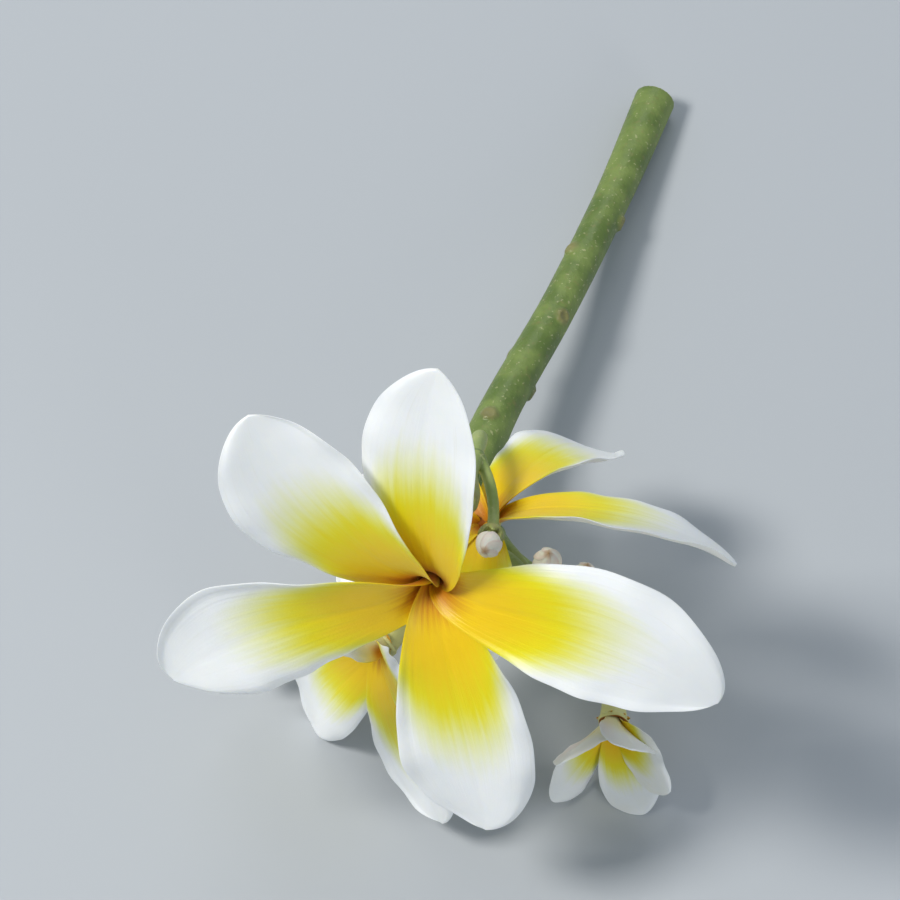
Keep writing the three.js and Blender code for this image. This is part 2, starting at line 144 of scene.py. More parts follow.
# Buds: seat, the way each points, the lengths of its tube and of its furled part, the radius of that,
# and its pedicel as above
BUDS = [
    dict(name="bud_large_left", seat=(-7.3, 26.6, 14.7), face=(-0.85, -0.51, -0.16),
         tube=9, furl=20, girth=3.8, root=(2.8, 34.9, 17.4), root_way=(-0.75, -0.65, -0.12)),
    dict(name="bud_large_right", seat=(16.2, 22.3, 21.2), face=(0.65, -0.7, 0.29),
         tube=8, furl=18, girth=3.6, root=(10, 32.4, 17.6), root_way=(0.26, -0.74, 0.62)),
    dict(name="bud_small_top_1", seat=(9, 13.5, 50.5), face=(-0.1, -0.6, 0.6),
         tube=2, furl=6, girth=1.9, root=(6.8, 29.5, 47.7), root_way=(0.5, -0.8, 0.2)),
    dict(name="bud_small_top_2", seat=(17, 11.5, 42), face=(0.1, -0.1, 0.95),
         tube=2, furl=7, girth=2.1, root=(5, 29.4, 18.8), root_way=(0.75, -0.22, 0.63)),
    dict(name="bud_small_top_3", seat=(22, 9, 41), face=(0.2, 0, 0.9),
         tube=2, furl=7, girth=2, root=(9.7, 32, 17.6), root_way=(0.35, -0.57, 0.74)),
    dict(name="bud_small_back_1", seat=(-3.7, 48, 14.6), face=(-0.53, 0.56, -0.64),
         tube=2, furl=9, girth=2.4, root=(2.5, 39.1, 22.3), root_way=(-0.73, 0.57, 0.37)),
    dict(name="bud_small_back_2", seat=(-7.3, 42.6, 11.5), face=(-0.79, 0.34, -0.51),
         tube=3, furl=8, girth=2.4, root=(2.9, 38.8, 18.6), root_way=(-0.79, 0.29, -0.55)),
]

# -----------------------------------------------------------------------------------------------------
# What the fine pieces add
# -----------------------------------------------------------------------------------------------------

# Petals. Heights and thicknesses are those of the front flower's petals.
FULL_LENGTH = FLOWERS[0]["length"]
PETAL_AROUND = 84        # points round a petal's cross-section
PETAL_ROW_PITCH = 0.55   # average distance between those cross-sections
PETAL_END = 0.99985      # share of the length at the last of them, just before the width vanishes
MIDRIB_STEPS = 400
SLOPE_STEP = 1e-3        # share of the length over which the midrib's way is measured
PETAL_THICK = 0.95
PETAL_BASE_THICK = 0.5
PETAL_TIP_THICK = 0.6
PETAL_EDGE_THICK = 0.55  # share of the thickness in the middle
EDGE_ROUND = 0.55        # lower is squarer in section
LEAN_OF_OUTLINE = 0.05   # one half of a petal is wider, and the other narrower, by this share
THROAT_WRAP = 0.22       # share of the length over which petals wrap round the throat
WRAP_LIMIT = 1.9         # radians by which half a petal can wrap
RELIEF_WIDTH = 0.6       # share of the full width below which the relief of a petal dies away
MIDRIB_GROOVE = 0.14
MIDRIB_WIDTH = 0.07      # share of the half width
VEIN_RELIEF = 0.05
VEINS = 7                # main veins on each side of the midrib
MARGIN_WAVE = 0.45       # height of the waves of the margins
ROLLED_WAVES = 2.3, 5.1  # long and short waves along the rolled margin
LIFTED_WAVES = 1.9, 4.7  # and along the other
WARP = 0.5               # height of the slow wave that lifts one margin and lowers the other
WARP_WAVES = 1.3
LIP_CURL = 0.5           # height of the fine lip of the lifted margin
ROLLED_LIP = -0.5        # that of the rolled margin, as a share of it
TABLE_CLEARANCE = 0.02
REST_HEIGHT = 3          # petals bend only where they come nearer to the table than this
REST_SOFTNESS = 0.05     # higher bends them more gently

# Corolla tube
TUBE_SIDES = 48
TUBE_STEPS = 4           # rings for each point of its profile
TUBE_FURROW = 0.035      # depth of its five furrows, as a share of its radius
TUBE_SPIRAL = 0.25       # their turn in radians for each millimetre
THROAT_MARK = 0.02       # value of the field "tube" in the throat, where petals have 0

# Furled buds
BUD_TUBE_ROWS = 14
BUD_ROWS = 60
SMALL_BUD_ROWS = 36
BUD_ROW_POWER = 1.15     # higher brings the rows closer together at the tip
BUD_TUBE_TWIST = 12
BUD_TUBE_SINK = 0.2      # how far the tube's foot reaches below its seat
BUD_SHARE_POINTS = 18    # outer points of each petal's visible part in a bud's cross-section
BUD_OVERLAP = 10         # degrees by which each petal's edge passes over its neighbour
BUD_RIDGE = 0.2          # height of each petal's edge, as a share of the radius
BUD_RIDGE_MIDDLE = 0.42  # share of the ridge that lies inside the mean radius
BUD_RIDGE_POWER = 0.8    # lower rises sooner from one edge to the next
BUD_FIRST_RIDGE = 0.04   # share of the full ridge that the tube has
BUD_BULGE = 0.06         # how far that part bulges, as a share of the ridge
BUD_LIP_THICK = 0.4
BUD_LIP_SHARE = 0.5      # greatest share of the ridge that a lip takes
BUD_TIP_RADIUS = 0.12
BUD_TIP_TAPER = 0.7      # share of the radius that is lost at the very tip
BUD_BEND = (0.15, 0.06, 0)  # how far the furled part bows aside, as shares of its girth

# Stalk, branches, pedicels and calyces
STALK_VOXEL = 0.22
STALK_SMOOTHING = 4
STALK_ROWS = 120
BRANCH_ROWS = 24
BRANCH_SWELL = 0.12
PEDICEL_ROWS = 48
STEM_SIDES = 28
SPLINE_STEPS = 60        # points of each span before they are spaced evenly
BEZIER_STEPS = 200
TOOTH_ROWS = 10
TOOTH_SIDES = 16
TOOTH_HEIGHT = 1.7
TOOTH_SINK = 0.6
TOOTH_WIDTH = 1.15       # half the width of a calyx tooth
TOOTH_THICK = 0.5        # half its thickness
TOOTH_INSET = 0.12
TOOTH_LEAN = 0.12        # how far its tip leans in
TOOTH_BLUNTNESS = 2.2    # higher is blunter
TOOTH_END = 0.985        # share of the height at the last row, just before a tooth vanishes
SCAR_RADIUS = 1.5
SCAR_HEIGHT = 0.6
SCAR_DIP = 0.45


# -----------------------------------------------------------------------------------------------------
# Numbers and shapes
# -----------------------------------------------------------------------------------------------------

def unit(vectors):
    vectors = np.asarray(vectors, float)
    return vectors / np.linalg.norm(vectors, axis=-1, keepdims=True)


def smooth(low, high, x):
    """0 up to low, 1 from high on, and an even curve between them."""
    t = np.clip((np.asarray(x, float) - low) / (high - low), 0, 1)
    return t * t * (3 - 2 * t)


def circle(sides):
    """Angles of evenly spaced points round a circle."""
    return 2 * np.pi * np.arange(sides) / sides


def facing(face):
    """Axes of a flower or bud as rows: x level and to the right, y, and z the way it faces."""
    z = unit(face)
    x = unit(X - z[0] * z)
    return np.stack([x, np.cross(z, x), z])


def placed(points, face, origin):
    """Points of a flower or bud, from its own axes to the part's."""
    return points @ facing(face) + np.asarray(origin, float) + CENTRE


def loft_faces(rows, around):
    """Faces over rows of points that turn round the way of travel, and a cap at each end."""
    i, j = np.meshgrid(np.arange(rows - 1), np.arange(around), indexing="ij")
    a = i * around + j
    b = i * around + (j + 1) % around
    quads = np.stack([a, b, b + around, a + around], axis=-1).reshape(-1, 4).tolist()
    last = (rows - 1) * around
    return quads + [list(range(around - 1, -1, -1)), list(range(last, last + around))]


class Shells:
    """Closed shells that make up one piece, with named fields on their points."""

    def __init__(self, *names):
        self.points, self.faces = [], []
        self.fields = {name: [] for name in names}
        self.count = 0

    def add(self, rings, **fields):
        rows, around = rings.shape[:2]
        self.faces += [[v + self.count for v in face] for face in loft_faces(rows, around)]
        self.points.append(rings.reshape(-1, 3))
        for name, values in self.fields.items():
            values.append(np.broadcast_to(fields[name], (rows, around)).ravel())
        self.count += rows * around

    def build(self, name):
        fields = {key: np.concatenate(values) for key, values in self.fields.items()}
        return build(name, np.concatenate(self.points), self.faces, fields)


def build(name, points, faces, fields):
    """A smooth mesh object in metres, from points in millimetres."""
    mesh = bpy.data.meshes.new(name)
    mesh.from_pydata((np.asarray(points) * MM).tolist(), [], faces)
    mesh.polygons.foreach_set("use_smooth", np.ones(len(mesh.polygons), bool))
    for key, values in fields.items():
        field = mesh.attributes.new(key, "FLOAT", "POINT")
        field.data.foreach_set("value", np.asarray(values, np.float32))
    mesh.update()
    return linked(name, mesh)


def linked(name, data):
    """A new object in the scene, for a mesh, a light or a camera."""
    made = bpy.data.objects.new(name, data)
    bpy.context.scene.collection.objects.link(made)
    return made


def dress(piece, skin, node):
    """Give a fine piece its material, and let it stand for its CAD node."""
    piece.data.materials.append(skin)
    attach(piece, "root")
    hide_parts(node)


# -----------------------------------------------------------------------------------------------------
# Flowers
# -----------------------------------------------------------------------------------------------------

def petal_width(u):
    """Half the width of a petal, as a share of its greatest half width."""
    power = math.log(0.5) / math.log(WIDEST_AT)
    lobe = np.maximum(0, np.sin(np.pi * u ** power)) ** BLUNTNESS
    base = BASE_WIDTH * (1 - u) ** 3
    return base + (1 - base) * lobe


def midrib(flower, k, shares):
    """Points of petal k's midrib at shares of its length, in the flower's own axes."""
    u = (np.arange(MIDRIB_STEPS) + 0.5) / MIDRIB_STEPS
    lift = flower["lift"] + flower["rise"][k]
    slope = np.radians(lift + THROAT_RISE * np.exp(-u / THROAT_BEND) - flower["recurve"] * u ** 2)
    step = flower["length"] * flower["lengths"][k] / MIDRIB_STEPS
    out = THROAT_RADIUS + np.append(0, np.cumsum(np.cos(slope))) * step
    along = -THROAT_SINK + np.append(0, np.cumsum(np.sin(slope))) * step
    even = np.linspace(0, 1, MIDRIB_STEPS + 1)
    strayed = flower["turn"][k] * (1 - np.exp(-shares / TURN_BEND)) + flower["bend"][k] * shares ** 2
    angle = np.radians(flower["roll"] + 360 * k / PETALS + strayed)
    radius = np.interp(shares, even, out)
    height = np.interp(shares, even, along)
    return np.stack([radius * np.cos(angle), radius * np.sin(angle), height], axis=1)


def petal_axes(flower, k, u):
    """Petal k's midrib at shares u of its length, and the ways its width and its thickness point there."""
    rib = midrib(flower, k, u)
    ahead = midrib(flower, k, np.minimum(u + SLOPE_STEP, 1))
    behind = midrib(flower, k, np.maximum(u - SLOPE_STEP, 0))
    along = unit(ahead - behind)
    across = unit(np.cross(Z, along))
    out = np.cross(along, across)
    tilt = PINWHEEL_TILT * (1 - u) ** TILT_FADE + flower["twist"][k] * smooth(0, TWIST_FULL, u)
    tilt = np.radians(tilt)[:, None]
    wide = across * np.cos(tilt) - out * np.sin(tilt)
    thick = out * np.cos(tilt) + across * np.sin(tilt)
    return rib, wide, thick


def margin_waves(u, waves, phases):
    """A long wave along a margin, with a short one of half its height on it."""
    long, short = (np.sin(2 * np.pi * count * u + phase) for count, phase in zip(waves, phases))
    return long + 0.5 * short


def petal_relief(u, v, phases):
    """How far the front flower's petals rise from their smooth cupped form: waves and a fine lip along the
    margins, the midrib's groove and the main veins. Each sets in over a stretch of the length."""
    rolled = margin_waves(u, ROLLED_WAVES, phases[:2])
    lifted = margin_waves(u, LIFTED_WAVES, phases[2:])
    waves = MARGIN_WAVE * np.where(v > 0, rolled, lifted) * np.abs(v) ** 3 * smooth(0.18, 0.45, u)
    lip = LIP_CURL * np.where(v > 0, ROLLED_LIP, 1) * smooth(0.8, 1, np.abs(v)) * smooth(0.1, 0.35, u)
    warp = WARP * np.sin(2 * np.pi * WARP_WAVES * u + phases[0]) * v * smooth(0.2, 0.5, u)
    veins = VEIN_RELIEF * np.cos(2 * np.pi * VEINS * np.abs(v) ** 0.9) * (1 - u) * smooth(0.1, 0.3, u)
    groove = MIDRIB_GROOVE * np.exp(-(v / MIDRIB_WIDTH) ** 2) * (1 - u) ** 0.5 * smooth(0.05, 0.2, u)
    return (waves + lip + warp - veins) * smooth(0, RELIEF_WIDTH, petal_width(u)) - groove


def petal_rings(flower, k, draw):
    """Cross-sections of petal k from throat to tip, in the flower's own axes. For each point: its place on
    the middle surface, the way from there to the skin, and its shares along, across and to the upper side."""
    rows = int(flower["length"] / PETAL_ROW_PITCH)
    u = np.minimum((1 - np.cos(np.linspace(0, np.pi, rows))) / 2, PETAL_END)
    rib, wide, thick = petal_axes(flower, k, u)
    turn = circle(PETAL_AROUND)
    v = np.cos(turn)[None, :]
    side = (np.sign(np.sin(turn)) * np.abs(np.sin(turn)) ** EDGE_ROUND)[None, :]
    u = u[:, None]

    half = flower["width"] / 2 * flower["widths"][k] * petal_width(u)
    half = half * (1 + LEAN_OF_OUTLINE * np.sin(np.pi * u) * v * draw.choice([-1, 1]))
    reach = half * v
    rolled = np.where(v > 0, MARGIN_ROLL * v ** 4 * smooth(ROLL_START, ROLL_FULL, u), 0)
    height = half * (CUP * v ** 2 - rolled)

    # Round the throat the petals wrap into a funnel, one edge over the next petal and one under the last
    radius = np.hypot(rib[:, 0], rib[:, 1])[:, None]
    angle = np.clip(reach / radius, -WRAP_LIMIT, WRAP_LIMIT)
    wrap = 1 - smooth(0, THROAT_WRAP, u)
    reach = reach * (1 - wrap) + radius * np.sin(angle) * wrap
    height = height * (1 - wrap) + radius * (1 - np.cos(angle)) * wrap

    size = flower["length"] / FULL_LENGTH
    height = height + size * petal_relief(u, v, draw.uniform(0, 2 * np.pi, 4))
    middle = PETAL_BASE_THICK + (PETAL_THICK - PETAL_BASE_THICK) * smooth(0, 0.2, u)
    middle = middle + (PETAL_TIP_THICK - PETAL_THICK) * smooth(0.3, 1, u)
    thickness = middle * (1 - (1 - PETAL_EDGE_THICK) * v ** 2) * size ** 0.5

    centre = rib[:, None, :] + wide[:, None, :] * reach[..., None] + thick[:, None, :] * height[..., None]
    skin = thick[:, None, :] * (side * thickness / 2)[..., None]
    return centre, skin, u, v, (side + 1) / 2


def resting(centre, skin):
    """A petal's skin round its middle surface, which bends up where it would sink into the table."""
    lowest = np.abs(skin[..., 2]) + TABLE_CLEARANCE
    over = centre[..., 2] - lowest
    bent = centre.copy()
    bent[..., 2] = lowest + 0.5 * (over + np.sqrt(over ** 2 + REST_SOFTNESS))
    near = over < REST_HEIGHT
    return np.where(near[..., None], bent, centre) + skin


def corolla_tube(flower):
    """The slender tube below the petals, as rings from its foot over its rim to the bottom of the throat,
    and how far down its outside each lies, as a share of its length."""
    length = flower["tube"]
    outside = [
        (0.7 * TUBE_BASE_RADIUS, -length - 0.2), (TUBE_BASE_RADIUS, -length + 0.1),
        (1.12 * TUBE_BASE_RADIUS, -0.88 * length), (1.1 * TUBE_BASE_RADIUS, -0.72 * length),
        (0.97 * TUBE_NECK_RADIUS, -0.55 * length), (TUBE_NECK_RADIUS, -0.4 * length),
        (1.12 * TUBE_NECK_RADIUS, -0.25 * length), (1.27 * TUBE_NECK_RADIUS, -0.13 * length),
        (TUBE_TOP_RADIUS, -1.5), (0.96 * TUBE_TOP_RADIUS, -0.9),
    ]
    throat = [(0.75 * TUBE_TOP_RADIUS, -0.9), (0.45 * TUBE_TOP_RADIUS, -1.6), (0.05, -DIMPLE_DEPTH)]
    radii, heights = zip(*outside, *throat)
    share = np.linspace(0, 1, len(radii))
    fine = np.linspace(0, 1, TUBE_STEPS * len(radii))
    radius = np.interp(fine, share, radii)[:, None]
    height = np.interp(fine, share, heights)[:, None]
    turn = circle(TUBE_SIDES)
    furrow = 1 + TUBE_FURROW * np.cos(PETALS * turn + TUBE_SPIRAL * height) * smooth(1, 1.6, radius)
    rings = np.stack([radius * furrow * np.cos(turn), radius * furrow * np.sin(turn),
                      np.broadcast_to(height, furrow.shape)], axis=-1)
    inside = fine[:, None] > share[len(outside) - 1]
    return rings, np.where(inside, 0, -height / length)


def make_bloom(flower, draw, skin):
    shells = Shells("along", "across", "upper", "tube", "tint")
    for k in range(PETALS):
        centre, half_skin, u, v, upper = petal_rings(flower, k, draw)
        centre = placed(centre, flower["face"], flower["throat"])
        rings = resting(centre, half_skin @ facing(flower["face"]))
        shells.add(rings, along=u, across=v, upper=upper, tube=0, tint=draw.uniform())
    rings, down = corolla_tube(flower)
    rings = placed(rings, flower["face"], flower["throat"])
    shells.add(rings, along=0, across=0, upper=0, tube=np.minimum(THROAT_MARK + down, 1), tint=0.5)
    dress(shells.build(flower["name"] + "_corolla"), skin, flower["name"])


# -----------------------------------------------------------------------------------------------------
# Buds
# -----------------------------------------------------------------------------------------------------

def bud_profile(bud):
    """Rows from a bud's foot to its tip: share of the furled part, share of the tube, height and radius."""
    neck = min(TUBE_BASE_RADIUS, bud["girth"] * BUD_NECK)
    furl_rows = BUD_ROWS if bud["girth"] > SMALL_GIRTH else SMALL_BUD_ROWS
    furl = 1 - (1 - np.linspace(0, 1, furl_rows)) ** BUD_ROW_POWER
    u = np.append(np.zeros(BUD_TUBE_ROWS), furl)
    below = np.linspace(-BUD_TUBE_SINK, bud["tube"], BUD_TUBE_ROWS + 1)[:-1]
    height = np.append(below, bud["tube"] + bud["furl"] * furl)
    tube = np.clip(height / bud["tube"], 0, 1)
    share = (BUD_SWELL_START + BUD_SWELL_SPAN * u) ** BUD_SWELL_POWER
    swell = bud["girth"] * np.sin(np.pi * share) ** BUD_SWELL_POWER
    radius = np.maximum(np.maximum(neck * (1 - u), swell), BUD_TIP_RADIUS)
    top = radius[BUD_TUBE_ROWS]
    radius[:BUD_TUBE_ROWS] = neck + (top - neck) * smooth(0.3, 1, tube[:BUD_TUBE_ROWS])
    radius *= 1 - BUD_TIP_TAPER * smooth(0.93, 1, u)
    return u, tube, height, radius


def bud_rings(bud):
    """Cross-sections of a furled bud, each petal's edge lapping over the next. For each point: its place,
    and its shares along the furled part, across its petal and up the tube."""
    u, tube, height, radius = bud_profile(bud)
    strength = BUD_FIRST_RIDGE + (1 - BUD_FIRST_RIDGE) * smooth(0, BUD_RIDGE_FULL, u)
    ridge = BUD_RIDGE * strength
    twist = np.radians(BUD_TURN * u + BUD_TUBE_TWIST * tube)
    even = math.radians(360 / PETALS)
    overlap = math.radians(BUD_OVERLAP) * strength
    lip = np.minimum(BUD_LIP_THICK * strength, BUD_LIP_SHARE * ridge * radius)
    edge = radius * (1 + ridge * (1 - BUD_RIDGE_MIDDLE)) - lip
    foot = radius * (1 - ridge * BUD_RIDGE_MIDDLE)

    section = []
    for k in range(PETALS):
        start = twist + k * even
        for f in np.linspace(0, 1, BUD_SHARE_POINTS):
            lifted = f ** BUD_RIDGE_POWER - BUD_RIDGE_MIDDLE + BUD_BULGE * math.sin(math.pi * f)
            section.append((start + (even + overlap) * f, radius * (1 + ridge * lifted), f))

        # Under the lip, and from there in to the next petal
        section.append((start + (even + overlap) * 0.995, edge, 1))
        section.append((start + even + 0.15 * overlap, 0.35 * edge + 0.65 * foot + 0.02 * strength, 1))
    angles, radii, across = zip(*section)
    angle = np.stack(angles, axis=1)
    radius = np.stack(radii, axis=1)
    rings = np.stack([radius * np.cos(angle), radius * np.sin(angle),
                      np.broadcast_to(height[:, None], radius.shape)], axis=-1)
    return rings, u[:, None], np.array(across)[None, :], tube[:, None]


def make_bud(bud, draw, skin):
    shells = Shells("along", "across", "tube", "tint")
    rings, u, across, tube = bud_rings(bud)
    rings = rings + bud["girth"] * np.sin(np.pi * u)[..., None] ** 2 * np.array(BUD_BEND)
    rings = placed(rings, bud["face"], bud["seat"])
    shells.add(rings, along=u, across=across, tube=1 - tube, tint=draw.uniform())
    dress(shells.build(bud["name"] + "_furl"), skin, bud["name"])


# -----------------------------------------------------------------------------------------------------
# Stalk, branches, pedicels and calyces
# -----------------------------------------------------------------------------------------------------

def spline(points, count):
    """Evenly spaced points on a centripetal Catmull-Rom curve."""
    points = np.asarray(points, float)
    padded = np.vstack([2 * points[0] - points[1], points, 2 * points[-1] - points[-2]])
    curve = []
    for i in range(1, len(padded) - 2):
        p0, p1, p2, p3 = padded[i - 1:i + 3]
        d0, d1, d2 = (math.sqrt(np.linalg.norm(b - a)) for a, b in ((p0, p1), (p1, p2), (p2, p3)))
        m1 = d1 * ((p1 - p0) / d0 - (p2 - p0) / (d0 + d1) + (p2 - p1) / d1)
        m2 = d1 * ((p2 - p1) / d1 - (p3 - p1) / (d1 + d2) + (p3 - p2) / d2)
        t = np.linspace(0, 1, SPLINE_STEPS)[:, None]
        curve.append((2 * t ** 3 - 3 * t ** 2 + 1) * p1 + (t ** 3 - 2 * t ** 2 + t) * m1
                     + (3 * t ** 2 - 2 * t ** 3) * p2 + (t ** 3 - t ** 2) * m2)
    return evenly(np.vstack(curve), count)


def bezier(a, b, c, d, count):
    t = np.linspace(0, 1, BEZIER_STEPS)[:, None]
    curve = (1 - t) ** 3 * a + 3 * t * (1 - t) ** 2 * b + 3 * t ** 2 * (1 - t) * c + t ** 3 * d
    return evenly(curve, count)


def evenly(curve, count):
    """The same line with points at even distances."""
    run = np.append(0, np.cumsum(np.linalg.norm(np.diff(curve, axis=0), axis=1)))
    at = np.linspace(0, run[-1], count)
    return np.stack([np.interp(at, run, curve[:, axis]) for axis in range(3)], axis=1)


def stem_rings(path, radii):
    """Round cross-sections along a line, without twist."""
    along = unit(np.gradient(path, axis=0))
    normal = unit(np.cross(along[0], Z if abs(along[0][2]) < 0.9 else X))
    turn = circle(STEM_SIDES)
    rings = []
    for point, way, radius in zip(path, along, radii):
        normal = unit(normal - way * np.dot(normal, way))
        other = np.cross(way, normal)
        ring = np.cos(turn)[:, None] * normal + np.sin(turn)[:, None] * other
        rings.append(point + radius * ring)
    return np.array(rings)


def pedicel_path(holder):
    """The line of a pedicel from its root to the seat, and its size."""
    way = unit(holder["face"])
    if "throat" in holder:
        seat = np.asarray(holder["throat"], float) - way * holder["tube"]
        size = 1.0
    else:
        seat = np.asarray(holder["seat"], float)
        size = SMALL_PEDICEL if holder["girth"] < SMALL_GIRTH else 1.0
    end = seat - SEAT_GAP * way
    root = np.asarray(holder["root"], float)
    pull = PEDICEL_PULL * np.linalg.norm(end - root)
    root_way = unit(holder["root_way"])
    return bezier(root, root + root_way * pull, end - way * pull, end, PEDICEL_ROWS), size


def calyx_tooth(k, holder, end, size):
    """One of the five rounded teeth that hug the foot of a tube."""
    rows = np.linspace(0, 1, TOOTH_ROWS)[:, None]
    turn = circle(TOOTH_SIDES)
    height = -TOOTH_SINK + (TOOTH_HEIGHT + TOOTH_SINK) * rows
    taper = np.sqrt(np.clip(1 - (rows * TOOTH_END) ** TOOTH_BLUNTNESS, 0, 1))
    middle = CALYX_RADIUS - TOOTH_THICK - TOOTH_INSET - TOOTH_LEAN * rows
    radial = middle + TOOTH_THICK * taper * np.cos(turn)
    sideways = TOOTH_WIDTH * taper * np.sin(turn)
    angle = 2 * np.pi * k / PETALS
    x = radial * math.cos(angle) - sideways * math.sin(angle)
    y = radial * math.sin(angle) + sideways * math.cos(angle)
    rings = np.stack([x, y, np.broadcast_to(height, x.shape)], axis=-1) * size
    return rings @ facing(holder["face"]) + end


def stalk_radius(share):
    return np.interp(share, np.linspace(0, 1, len(STALK_RADII)), STALK_RADII)


def pedicel_radius(share):
    root = (PEDICEL_ROOT_RADIUS - PEDICEL_RADIUS) * (1 - smooth(0, ROOT_END, share))
    calyx = (CALYX_RADIUS - PEDICEL_RADIUS) * smooth(CALYX_START, CALYX_FULL, share)
    return PEDICEL_RADIUS + root + calyx


def stalk_shells():
    """Closed shells of the whole stalk, which overlap where one grows out of another, the line of the
    stalk, those of its branches and those of its pedicels."""
    shells = Shells()
    path = spline(STALK_PATH, STALK_ROWS)
    shells.add(stem_rings(path, stalk_radius(np.linspace(0, 1, STALK_ROWS))))
    branches = []
    for end, radius in BRANCHES:
        head = np.asarray(HEAD, float)
        way = np.asarray(end, float) - head
        line = np.linspace(head - BRANCH_SINK * way, head + way, BRANCH_ROWS)
        swell = radius * (1 + BRANCH_SWELL * smooth(0.55, 1, np.linspace(0, 1, BRANCH_ROWS)))
        shells.add(stem_rings(line, swell))
        branches.append(line)
    pedicels = []
    for holder in FLOWERS + BUDS:
        line, size = pedicel_path(holder)
        shells.add(stem_rings(line, size * pedicel_radius(np.linspace(0, 1, PEDICEL_ROWS))))
        for k in range(PETALS):
            shells.add(calyx_tooth(k, holder, line[-1], size))
        pedicels.append(line)
    return shells, path, branches, pedicels


def fused(shells, voxel):
    """One skin round overlapping shells, evenly meshed: points in millimetres, faces and edges."""
    rough = shells.build("rough")
    remesh = rough.modifiers.new("one skin", "REMESH")
    remesh.mode = "VOXEL"
    remesh.voxel_size = voxel * MM
    whole = bpy.data.meshes.new_from_object(rough.evaluated_get(bpy.context.evaluated_depsgraph_get()))
    points = np.zeros(len(whole.vertices) * 3)
    whole.vertices.foreach_get("co", points)
    edges = np.zeros(len(whole.edges) * 2, int)
    whole.edges.foreach_get("vertices", edges)
    faces = [list(p.vertices) for p in whole.polygons]
    bpy.data.objects.remove(rough)
    return points.reshape(-1, 3) / MM, faces, edges.reshape(-1, 2)


def relaxed(points, edges, times):
    """Points drawn halfway to the mean of their neighbours, some times over."""
    count = np.bincount(edges.ravel(), minlength=len(points))[:, None]
    for _ in range(times):
        total = np.zeros_like(points)
        for a, b in ((0, 1), (1, 0)):
            for axis in range(3):
                total[:, axis] += np.bincount(edges[:, a], points[edges[:, b], axis], len(points))
        points = 0.5 * points + 0.5 * total / count
    return points


def nearest(points, line):
    """Distance of each point to a line's points, and the share of the line's length of the nearest."""
    distance = np.full(len(points), np.inf)
    share = np.zeros(len(points))
    for i, place in enumerate(line):
        apart = np.linalg.norm(points - place, axis=1)
        closer = apart < distance
        distance[closer] = apart[closer]
        share[closer] = i / (len(line) - 1)
    return distance, share


def pedicel_marks(points, stout_lines, pedicels):
    """How young each point of the stalk is, from 0 to 1, and how much it belongs to a calyx."""
    best = np.full(len(points), np.inf)
    young = np.zeros(len(points))
    calyx = np.zeros(len(points))
    for line in stout_lines:
        best = np.minimum(best, nearest(points, line)[0])
    for line in pedicels:
        distance, share = nearest(points, line)
        closer = distance < best
        best[closer] = distance[closer]
        young[closer] = smooth(0, 0.25, share[closer])
        calyx[closer] = smooth(0.72, 0.98, share[closer])
    return young, calyx


def scar_marks(points, path):
    """How much each point of the stalk belongs to a scar, and how far and which way that moves it."""
    scar = np.zeros(len(points))
    rise = np.zeros(len(points))
    outward = np.zeros_like(points)
    for k in range(SCARS):
        share = SCAR_FIRST + (SCAR_LAST - SCAR_FIRST) * k / (SCARS - 1)
        angle = math.radians(k * GOLDEN_ANGLE)
        way = unit([math.cos(angle), SCAR_LEAN, math.sin(angle)])
        place = path[int(share * (len(path) - 1))] + way * stalk_radius(share)
        apart = np.linalg.norm(points - place, axis=1) / SCAR_RADIUS
        mark = 1 - smooth(0.6, 1.25, apart)
        dip = 1 - smooth(0.15, 0.75, apart)
        scar = np.maximum(scar, mark)
        rise += SCAR_HEIGHT * (mark - SCAR_DIP * dip)
        outward += way * (apart < 2)[:, None]
    return scar, rise[:, None] * outward


def make_stalk(skin):
    shells, path, branches, pedicels = stalk_shells()
    points, faces, edges = fused(shells, STALK_VOXEL)
    points = relaxed(points, edges, STALK_SMOOTHING)
    young, calyx = pedicel_marks(points, [path] + branches, pedicels)
    scar, moved = scar_marks(points, path)
    cut = smooth(-0.25, -0.05, (points - path[0]) @ unit(path[0] - path[2]))
    points = points + moved + CENTRE
    points[:, 2] = np.maximum(points[:, 2], 0)
    fields = dict(young=young, calyx=calyx, cut=cut, scar=scar)
    dress(build("stalk_and_calyces", points, faces, fields), skin, "flower_stalk")


# -----------------------------------------------------------------------------------------------------
# Materials
# -----------------------------------------------------------------------------------------------------

def rgb(code):
    """A linear colour from its sRGB code."""
    channels = [int(code[i:i + 2], 16) / 255 for i in (0, 2, 4)]
    return tuple(c / 12.92 if c <= 0.04045 else ((c + 0.055) / 1.055) ** 2.4 for c in channels) + (1.0,)


